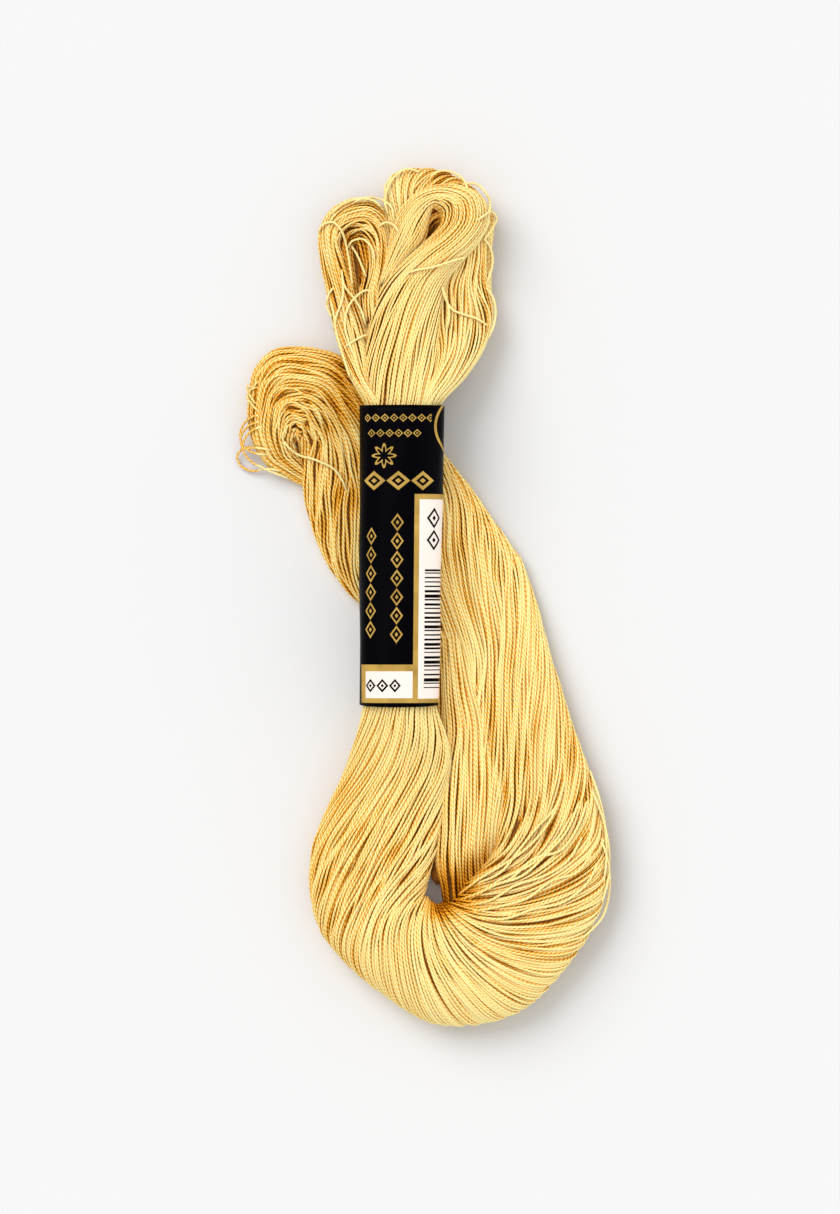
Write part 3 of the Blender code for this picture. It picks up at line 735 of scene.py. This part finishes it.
# Turns that fan out over the bend from the pinch.
LOOSE_RIBBONS = (
    ((7.3, -62.8, 6.6), (11.5, -59.4, 9.2), (16.2, -56.5, 10.6), (21.2, -53.1, 11.2),
     (25.8, -48.1, 11), (29.2, -41.8, 10.2)),
    ((6.9, -64, 7), (12, -61.9, 9.6), (17.4, -58.6, 10.9), (22.5, -56.1, 11.3), (27.5, -51.4, 11),
     (31.7, -45.1, 10)),
    ((8.2, -64.9, 8), (14.1, -63.6, 10.4), (19.5, -60.3, 11.3), (25, -58.6, 11.2),
     (30, -55.6, 10.6), (33.8, -49.8, 9.4)),
    ((9.9, -66.1, 9.4), (15.8, -64.9, 11), (21.6, -63.2, 11.4), (27.1, -59.4, 11.2),
     (32.1, -57.8, 10.2), (35.9, -53.1, 8.6)),
    ((11.1, -60.3, 9.4), (16.2, -57.8, 10.8), (20.4, -52.7, 11.2), (23.7, -48.5, 11),
     (27.9, -43.9, 10.4), (30, -37.6, 9.8)),
    ((9.4, -63.6, 8.8), (15.3, -60.3, 10.8), (20.4, -58.6, 11.3), (26.2, -53.5, 11.2),
     (29.6, -49.8, 10.8), (33, -42.6, 9.8)),
    ((10.3, -67, 9.6), (17, -67.4, 11.2), (23.3, -65.3, 11.5), (29.2, -64, 11),
     (34.2, -60.3, 9.6), (37.2, -55.2, 7.4)),
    ((12, -61.1, 9.8), (17.8, -59.4, 11.1), (23.3, -54.8, 11.4), (28.8, -53.1, 10.9),
     (32.5, -48.1, 10), (34.6, -42.6, 9)),
)
LOOSE_SAMPLES = 40
# Threads within REACH in plan are below a turn, whose middle lies LEAST to MOST above theirs. Its
# ends dive by DIVE over a part of its length, one in DIVE_PART, and stay above LOWEST.
REACH, LEAST, MOST, DIVE, DIVE_PART, LOWEST = 1.0, 0.4, 0.8, 1.2, 8, 0.4
# Where turns cross the pinch they are darker, a painted shade; those out beyond LEFT_EDGE are
# darker
# too: the tufts, which lie above TUFTS_FROM, and the rings.
PINCH_X, PINCH_Y, PINCH_REACH, PINCH_SHADE = 6.0, -64.0, 6.0, 0.5
LEFT_EDGE, TUFTS_FROM, TUFT_TONE, RING_TONE = -35.0, 39.0, -0.1, -0.3

below = np.concatenate(shown)


def loose_turn(points):
    """A smooth path through these points, laid on the threads below it, with its ends tucked in."""
    points = np.array(points, float)
    knots = running(np.linalg.norm(np.diff(points, axis=0), axis=1))
    path = smooth_curve(points, knots, np.linspace(0.0, knots[-1], LOOSE_SAMPLES))
    apart = np.hypot(path[:, None, 0] - below[None, :, 0], path[:, None, 1] - below[None, :, 1])
    top = np.where(apart < REACH, below[None, :, 2], 0.0).max(axis=1)
    height = np.where(top > 0.0, np.clip(path[:, 2], top + LEAST, top + MOST), path[:, 2])
    height = eased(height[None, :], 12)[0]
    step = np.arange(LOOSE_SAMPLES) / (LOOSE_SAMPLES - 1)
    dive = DIVE * np.clip(1 - DIVE_PART * np.minimum(step, 1 - step), 0, 1)
    path[:, 2] = np.maximum(height - dive, LOWEST)
    return path


# The loose threads are paler than the ribbons, partly a tone of their own and partly a painted
# highlight on threads that lie on top.
for name, table, diameter, pale in (("loose_threads", LOOSE_THREADS, 0.54, 0.12),
                                    ("loose_ribbons", LOOSE_RIBBONS, 0.66, 0.0)):
    turns = np.stack([loose_turn(points) for points in table])
    facing_up = np.broadcast_to((0.0, 0.0, 1.0), turns.shape)
    outside = np.where(turns[..., 1] > TUFTS_FROM, TUFT_TONE, RING_TONE)
    turn_tones = np.where(turns[..., 0] < LEFT_EDGE, outside, pale)
    apart = np.hypot(turns[..., 0] - PINCH_X, turns[..., 1] - PINCH_Y)
    # Painted shade where the turns cross the pinch.
    turn_tones = turn_tones - PINCH_SHADE * np.exp(-((apart / PINCH_REACH) ** 2))
    thread_piece(name, (turns, facing_up, turn_tones), sides=6, diameter=diameter)


# --------------------
# The heart of the hank: the mass of threads below the ones that show. It is seen only as the dark
# of the gaps, so it is one close body with its threads in the finish, coloured as painted shade.

# How far it lies under the outer threads, the least share of a section that it keeps, how far it
# stays off the ground, and the spacing of its own sections in millimetres and in degrees.
HEART_DEPTH, HEART_LEAST, HEART_LIFT = 1.25, 0.25, 0.3
HEART_TRAVEL, HEART_TURN = 2.5, 12.0


def heart_mesh(name, table, columns=40):
    """The smooth skin of a bundle, HEART_DEPTH below its outer threads, closed at both ends."""
    rows = stations(table, HEART_TRAVEL, HEART_TURN)
    centre, half, direction = plan_of(rows)
    angle = 2 * math.pi * np.arange(columns)[None, :] / columns - np.radians(rows[:, 6])[:, None]
    wide = np.maximum(half - HEART_DEPTH, HEART_LEAST * half)[:, None]
    tall = np.where(np.sin(angle) > 0, OVAL_ABOVE, OVAL_BELOW) * rows[:, 5, None]
    tall = np.maximum(tall - HEART_DEPTH, HEART_LEAST * tall)
    plan = centre[:, None] + (wide * np.cos(angle))[..., None] * direction[:, None]
    z = rows[:, 4, None] + OVAL_MIDDLE * rows[:, 5, None] + tall * np.sin(angle)
    z = np.maximum(z, rows[:, 4, None] + HEART_LIFT)
    rings = np.concatenate([plan, z[..., None]], -1)
    count = len(rings)
    points = np.concatenate([rings.reshape(-1, 3), rings[0].mean(0)[None], rings[-1].mean(0)[None]])
    k = np.arange(columns)
    after = (k + 1) % columns
    hub = np.full(columns, count * columns)
    last = (count - 1) * columns
    faces = ring_faces(np.arange(count - 1)[:, None] * columns, columns).reshape(-1, 4).tolist()
    faces += np.stack([hub, after, k], -1).tolist()
    faces += np.stack([hub + 1, last + k, last + after], -1).tolist()
    mesh = bpy.data.meshes.new(name)
    mesh.from_pydata((points - MIDDLE) * MM, [], faces)
    mesh.shade_smooth()
    return mesh


# The same cotton, painted dark brown as it looks in the shade of the threads above it.
shaded_cotton, shaded_tree, shaded_shader = new_material("mercerised_cotton_painted_shade",
                                                         {"Roughness": 0.8})
place = add_node(shaded_tree, "TexCoord")
strands = add_node(shaded_tree, "TexNoise",
    {"Vector": place.outputs["Object"], "Scale": 900.0, "Detail": 3.0})
shades = add_node(shaded_tree, "ValToRGB", {0: strands})
shades.color_ramp.elements[0].color = linear("6E3C00")
shades.color_ramp.elements[1].color = linear("BE7C22")
shaded_tree.links.new(shades.outputs["Color"], shaded_shader.inputs["Base Color"])

# Low plugs of the same threads, in the painted shade, close the eyes of the loops from below.
LOOP_EYE_PLUG = (
    (-30, 38, -24, 38.6, 0.2, 2.8, 0),
    (-29.6, 35, -23.6, 35.2, 0.2, 3, 8),
    (-29, 31.6, -23.4, 31.8, 0.2, 3, 16),
    (-28, 28, -22.4, 28.4, 0.2, 2.8, 24),
)
FRONT_EYE_PLUG = (
    (-2, 72, 3, 70.6, 0.6, 6.4, 0),
    (-0.6, 75, 5, 73.6, 0.6, 7, 8),
    (0.8, 78, 6.8, 77.2, 0.6, 7, 16),
    (2, 81.4, 7.6, 80.6, 0.6, 6, 24),
)
CURL_EYE_PLUG = (
    (-16.6, 62, -11, 62, 0.2, 3.2, 0),
    (-17.2, 67, -10.8, 67, 0.2, 3.6, 8),
    (-17.4, 72, -11.4, 72, 0.2, 3.6, 16),
    (-16.6, 77, -12.4, 77, 0.2, 3.2, 24),
)
PINCH_PLUG = (
    (2, -60.8, 4.2, -60.8, 0.2, 1.4, 0),
    (0.9, -60.1, 5.2, -60.1, 0.2, 3, 2),
    (1, -55, 5.6, -55, 0.2, 3.8, 8),
    (1.6, -50, 6, -50, 0.2, 3.8, 16),
)
# The arm that the band holds.
IN_BAND = (
    (3.2, 42.5, -12.2, 42.5, 6.6, 9.8, 0),
    (3.2, 35, -12.3, 35, 6.8, 9.5, 0),
    (2.6, 8, -12.4, 8, 6.8, 9.5, 0),
    (2.4, -19.5, -12.4, -19.5, 6.8, 9.5, 0),
)
HEARTS = (("long_bundle_heart", LONG_BUNDLE), ("inner_run_heart", INNER_RUN),
          ("front_loop_heart", FRONT_LOOP), ("back_loop_heart", BACK_LOOP),
          ("left_curl_heart", LEFT_CURL), ("curl_eye_heart", CURL_EYE),
          ("front_eye_heart", FRONT_EYE), ("loop_eye_heart", LOOP_EYE),
          ("valley_heart", VALLEY), ("in_band_heart", IN_BAND),
          ("loop_eye_plug", LOOP_EYE_PLUG), ("front_eye_plug", FRONT_EYE_PLUG),
          ("curl_eye_plug", CURL_EYE_PLUG), ("pinch_plug", PINCH_PLUG))
for heart_name, table in HEARTS:
    heart = new_piece(heart_name, heart_mesh(heart_name, table))
    heart.data.materials.append(shaded_cotton)
    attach(heart, "root")


# --------------------
# The band: a strip of glossy coated paper, printed in black and gold, wrapped round the hank and
# glued to itself underneath. It carries rules, lozenges, rings and stripes only.

BAND_LENGTH, BAND_TOP_Y = 62.6, 40.1
BAND_TOP_WIDTH, BAND_FOOT_WIDTH = 17.2, 16.0
BAND_TOP_CENTRE, BAND_FOOT_CENTRE = -4.4, -5.0
BAND_BASE, BAND_HEIGHT = 6.0, 11.2
PAPER = 0.3
OVAL_POWER = 2.4
# The lap and the middle of the front, in degrees round the oval, and the faces round and along it.
LAP, FRONT = 22.0, 90.0
AROUND, ALONG = 160, 48
# How far the first end is tucked in, in thicknesses of paper, how far the oval is pressed flat, and
# how far the foot of the front dips, in millimetres.
TUCK, PRESSED_DOWN, DIP = 1.3, 0.1, 0.5


def wrapped_strip():
    """The strip's outer face: ovals of |x|^p + |z|^p = 1 down its length, from lap end to lap end.

    The first end is tucked under the last. A slow ripple of about 0.1 mm keeps it from being
    perfect, and the middle of its foot dips. Its UV map is in millimetres: across from the middle
    of the front, and down from the top edge.
    """
    turn = np.linspace(-90.0 - LAP / 2, 270.0 + LAP / 2, AROUND + 1)
    angle = np.radians(turn)[None, :]
    down = np.linspace(0.0, 1.0, ALONG + 1)[:, None]
    tucked = PAPER * TUCK * np.clip(1 - (turn - turn[0]) / (2 * LAP), 0.0, 1.0)[None, :]
    ripple = 0.07 * np.sin(3 * angle + 9 * down) + 0.05 * np.sin(7 * angle - 14 * down)
    wide = 0.5 * (BAND_TOP_WIDTH + (BAND_FOOT_WIDTH - BAND_TOP_WIDTH) * down) - tucked + ripple
    tall = 0.5 * BAND_HEIGHT - tucked + ripple - PRESSED_DOWN
    across, up = (np.sign(part) * np.abs(part) ** (2 / OVAL_POWER)
                  for part in (np.cos(angle), np.sin(angle)))
    x = BAND_TOP_CENTRE + (BAND_FOOT_CENTRE - BAND_TOP_CENTRE) * down + wide * across
    z = BAND_BASE + 0.5 * BAND_HEIGHT + tall * up
    y = BAND_TOP_Y - BAND_LENGTH * down - DIP * down**6 * np.maximum(np.sin(angle), 0.0)
    points = np.stack([x, y, z], -1)
    walked = running(np.linalg.norm(np.diff(points, axis=1), axis=-1))
    front = np.argmin(np.abs(turn - FRONT))
    print_place = np.stack([walked[:, front:front + 1] - walked, BAND_TOP_Y - y + 0 * x], -1)
    start = np.arange(ALONG)[:, None] * (AROUND + 1) + np.arange(AROUND)[None, :]
    corners = np.stack([start, start + AROUND + 1, start + AROUND + 2, start + 1], -1)
    corners = corners.reshape(-1, 4)
    mesh = bpy.data.meshes.new("paper_band")
    mesh.from_pydata((points.reshape(-1, 3) - MIDDLE) * MM, [], corners.tolist())
    uv = print_place.reshape(-1, 2)[corners.ravel()]
    mesh.uv_layers.new(name="print").data.foreach_set("uv", uv.ravel().astype(np.float32))
    mesh.shade_smooth()
    return mesh


paper_band = new_piece("paper_band", wrapped_strip())
wall = paper_band.modifiers.new("wall", "SOLIDIFY")
wall.thickness = PAPER * MM
wall.offset = -1.0

# Coated label paper, offset printed: black and gold inks under a thin gloss, the white left bare.
coated_paper, paper_tree, paper_shader = new_material(
    "coated_paper_printed", {"Roughness": 0.34, "IOR": 1.5, "Specular IOR Level": 0.03})
place_on_print = add_node(paper_tree, "UVMap", uv_map="print")
print_parts = add_node(paper_tree, "SeparateXYZ", {0: place_on_print})
PU, PV = print_parts.outputs["X"], print_parts.outputs["Y"]
# The gold ink is not metallic: a slow noise runs it from dark to bright gold, a painted sheen.
gold_sheen = add_node(paper_tree, "TexNoise", {"Vector": place_on_print, "Scale": 0.22, "Detail": 3.0})
gold_ink = add_node(paper_tree, "Mix",
    {0: gold_sheen, 6: linear("7C5C22"), 7: linear("E0B860")}, data_type="RGBA").outputs[2]
black_ink = linear("010003")
bare_white = linear("F4E8DE")


def printed_box(left, right, top, foot):
    """1 inside this rectangle of the print: each place is within half a side of its middle."""
    beside = add_node(paper_tree, "Math",
        {0: PU, 1: (left + right) / 2, 2: (right - left) / 2}, operation="COMPARE")
    above = add_node(paper_tree, "Math",
        {0: PV, 1: (top + foot) / 2, 2: (foot - top) / 2}, operation="COMPARE")
    both = add_node(paper_tree, "Math", {0: beside, 1: above}, operation="MULTIPLY")
    return both


def lozenge_chain(over, along, middle, half_width, pitch, phase, line):
    """Lozenges in a row, outlined with a dot in each: |over - middle| / half width + the distance
    from the nearest lozenge's middle / half the pitch is 1 on the outside edge."""
    off = add_node(paper_tree, "Math", {0: over, 1: middle}, operation="SUBTRACT")
    off = add_node(paper_tree, "Math", {0: off}, operation="ABSOLUTE")
    beat = add_node(paper_tree, "Math", {0: along, 1: phase}, operation="SUBTRACT")
    beat = add_node(paper_tree, "Math", {0: beat, 1: pitch / 2}, operation="PINGPONG")
    beat = add_node(paper_tree, "Math", {0: beat, 1: 2 / pitch}, operation="MULTIPLY")
    reach = add_node(paper_tree, "Math",
        {0: off, 1: 1 / half_width, 2: beat}, operation="MULTIPLY_ADD")
    edge = add_node(paper_tree, "Math", {0: reach, 1: 0.96 - line, 2: line}, operation="COMPARE")
    dot = add_node(paper_tree, "Math", {0: reach, 1: 0.26}, operation="LESS_THAN")
    either = add_node(paper_tree, "Math", {0: edge, 1: dot}, operation="MAXIMUM")
    return either


def inked(below, ink, mask, box=None):
    """The colour below, with this ink over it where the mask is 1, and inside the box if any."""
    if box:
        mask = add_node(paper_tree, "Math", {0: mask, 1: printed_box(*box)}, operation="MULTIPLY")
    made = add_node(paper_tree, "Mix", {0: mask, 6: below, 7: ink}, data_type="RGBA")
    return made.outputs[2]


# The panels, each (left, right, top, foot): gold borders, then the white inside them.
print_colour = black_ink
for box, ink in (((2.8, 17.0, 18.6, 62.2), gold_ink), ((-8.9, 3.4, 54.2, 62.2), gold_ink),
                 ((3.85, 15.8, 19.7, 61.3), bare_white), ((-7.4, 2.75, 55.6, 61.2), bare_white)):
    print_colour = inked(print_colour, ink, printed_box(*box))

# Stripes of uneven width on the tall panel, drawn at random, one to each STRIPE_PITCH.
STRIPE_PITCH, STRIPE_SPREAD, STRIPE_LEAST = 0.92, 0.6, 0.22
beats = add_node(paper_tree, "Math", {0: PV, 1: 1 / STRIPE_PITCH}, operation="MULTIPLY")
cell = add_node(paper_tree, "Math", {0: beats}, operation="FLOOR")
within = add_node(paper_tree, "Math", {0: beats}, operation="FRACT")
chance = add_node(paper_tree, "TexWhiteNoise", {"W": cell}, noise_dimensions="1D")
share = add_node(paper_tree, "Math",
    {0: chance, 1: STRIPE_SPREAD, 2: STRIPE_LEAST}, operation="MULTIPLY_ADD")
bars = add_node(paper_tree, "Math", {0: within, 1: share}, operation="LESS_THAN")
print_colour = inked(print_colour, black_ink, bars, (5.1, 12.6, 34.3, 59.4))

# Rows of lozenges: black on the white panels, and on the black two fine rows at the top, one bold
# row under the rosette, and two columns. Each has the way across it and the way along it, its
# middle, half its width, its pitch and start, its line, its box and its ink.
LOZENGES = (
    (PU, PV, 7.2, 1.9, 4.6, 23.6, 0.16, (5.0, 9.4, 21.3, 30.5), black_ink),
    (PV, PU, 58.6, 1.5, 2.6, -3.5, 0.2, (-7.4, 0.4, 57.0, 60.2), black_ink),
    (PV, PU, 2.7, 0.9, 1.9, -1.6, 0.17, (-8.0, 6.3, 1.6, 3.8), gold_ink),
    (PV, PU, 5.9, 0.9, 1.9, -0.6, 0.17, (-7.2, 4.2, 4.8, 7.0), gold_ink),
    (PV, PU, 15.8, 2.1, 5.1, -0.6, 0.20, (-8.2, 7.0, 13.4, 18.1), gold_ink),
    (PU, PV, -6.2, 1.25, 3.9, 27.4, 0.15, (-8.0, -4.5, 25.4, 48.9), gold_ink),
    (PU, PV, -0.7, 1.4, 3.9, 24.5, 0.15, (-2.5, 1.1, 22.5, 50.0), gold_ink),
)
for *chain, box, ink in LOZENGES:
    print_colour = inked(print_colour, ink, lozenge_chain(*chain), box)

# A rosette of eight lobes and a plain ring, each with its centre, radius, lobes' depth and line.
ROUNDS = (((-3.6, 10.6, 0.0), 1.7, 0.6, 0.32), ((12.6, 4.4, 0.0), 5.4, 0.0, 0.3))
LOBES = 8.0
for centre, radius, petal, line in ROUNDS:
    from_middle = add_node(paper_tree, "VectorMath",
        {0: place_on_print, 1: centre}, operation="SUBTRACT")
    spread = add_node(paper_tree, "VectorMath", {0: from_middle}, operation="LENGTH")
    legs = add_node(paper_tree, "SeparateXYZ", {0: from_middle})
    heading = add_node(paper_tree, "Math",
        {0: legs.outputs["Y"], 1: legs.outputs["X"]}, operation="ARCTAN2")
    heading = add_node(paper_tree, "Math", {0: heading, 1: LOBES}, operation="MULTIPLY")
    lobes = add_node(paper_tree, "Math", {0: heading}, operation="COSINE")
    rim = add_node(paper_tree, "Math", {0: lobes, 1: petal, 2: radius}, operation="MULTIPLY_ADD")
    ring = add_node(paper_tree, "Math",
        {0: spread.outputs["Value"], 1: rim, 2: line}, operation="COMPARE")
    print_colour = inked(print_colour, gold_ink, ring)
paper_tree.links.new(print_colour, paper_shader.inputs["Base Color"])
paper_band.data.materials.append(coated_paper)
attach(paper_band, "root")
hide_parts("label_band")
